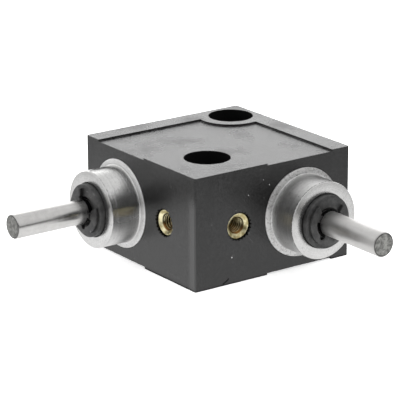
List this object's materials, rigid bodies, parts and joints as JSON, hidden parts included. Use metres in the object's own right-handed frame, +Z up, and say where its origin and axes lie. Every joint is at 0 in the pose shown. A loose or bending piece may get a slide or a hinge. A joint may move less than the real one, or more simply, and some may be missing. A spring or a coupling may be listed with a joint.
{
  "type": "right angle gearbox",
  "caption": "Small right angle gearbox: a square black moulded case, with two flanged bearing hubs on adjacent faces whose steel shafts are joined inside by mitre gears.",
  "frame": {"origin": "the point where the two shaft axes cross, at the common apex of the mitre gears", "axes": "+X along the input shaft outward, -Y along the output shaft outward, +Z up"},
  "size_m": [0.0766, 0.0766, 0.028],
  "materials": {
    "moulded_case": "black glass-filled nylon, satin, slightly grainy",
    "insert_brass": "turned brass with a cut thread",
    "housing_aluminium": "turned and clear anodised, fine lathe marks",
    "shaft_steel": "ground stainless steel",
    "gear_steel": "cut and hardened steel",
    "blackened_steel": "blackened spring steel",
    "turned_steel": "turned steel",
    "bearing_steel": "ground bearing steel",
    "cage_nylon": "natural nylon"
  },
  "bodies": {
    "root": {"gear_case": "moulded_case", "threaded_inserts": "insert_brass", "input_bearing_housing": "housing_aluminium", "input_front_outer_ring": "bearing_steel", "input_front_shields": "bearing_steel", "input_rear_outer_ring": "bearing_steel", "input_rear_shields": "bearing_steel", "output_bearing_housing": "housing_aluminium", "output_front_outer_ring": "bearing_steel", "output_front_shields": "bearing_steel", "output_rear_outer_ring": "bearing_steel", "output_rear_shields": "bearing_steel"},
    "input_shaft_group": {"input_shaft": "shaft_steel", "input_gear": "gear_steel", "input_gear_pin": "turned_steel", "input_spacer_sleeve": "turned_steel", "input_shim": "turned_steel", "input_washer": "blackened_steel", "input_clip": "blackened_steel", "input_front_inner_ring": "bearing_steel", "input_rear_inner_ring": "bearing_steel"},
    "input_ball_group": {"input_front_balls": "bearing_steel", "input_front_cage": "cage_nylon", "input_rear_balls": "bearing_steel", "input_rear_cage": "cage_nylon"},
    "output_shaft_group": {"output_shaft": "shaft_steel", "output_gear": "gear_steel", "output_gear_pin": "turned_steel", "output_spacer_sleeve": "turned_steel", "output_shim": "turned_steel", "output_washer": "blackened_steel", "output_clip": "blackened_steel", "output_front_inner_ring": "bearing_steel", "output_rear_inner_ring": "bearing_steel"},
    "output_ball_group": {"output_front_balls": "bearing_steel", "output_front_cage": "cage_nylon", "output_rear_balls": "bearing_steel", "output_rear_cage": "cage_nylon"}
  },
  "joints": [
    {"name": "input_spin", "type": "hinge", "parent": "root", "child": "input_shaft_group", "pos_m": [0, 0, 0], "axis": [1, 0, 0], "continuous": true},
    {"name": "output_spin", "type": "hinge", "parent": "root", "child": "output_shaft_group", "pos_m": [0, 0, 0], "axis": [0, -1, 0], "continuous": true},
    {"name": "input_ball_orbit", "type": "hinge", "parent": "root", "child": "input_ball_group", "pos_m": [0, 0, 0], "axis": [1, 0, 0], "continuous": true},
    {"name": "output_ball_orbit", "type": "hinge", "parent": "root", "child": "output_ball_group", "pos_m": [0, 0, 0], "axis": [0, -1, 0], "continuous": true}
  ],
  "couplings": [
    {"joint": "output_spin", "follows": "input_spin", "ratio": -1},
    {"joint": "input_ball_orbit", "follows": "input_spin", "ratio": 0.39474},
    {"joint": "output_ball_orbit", "follows": "input_spin", "ratio": -0.39474}
  ]
}
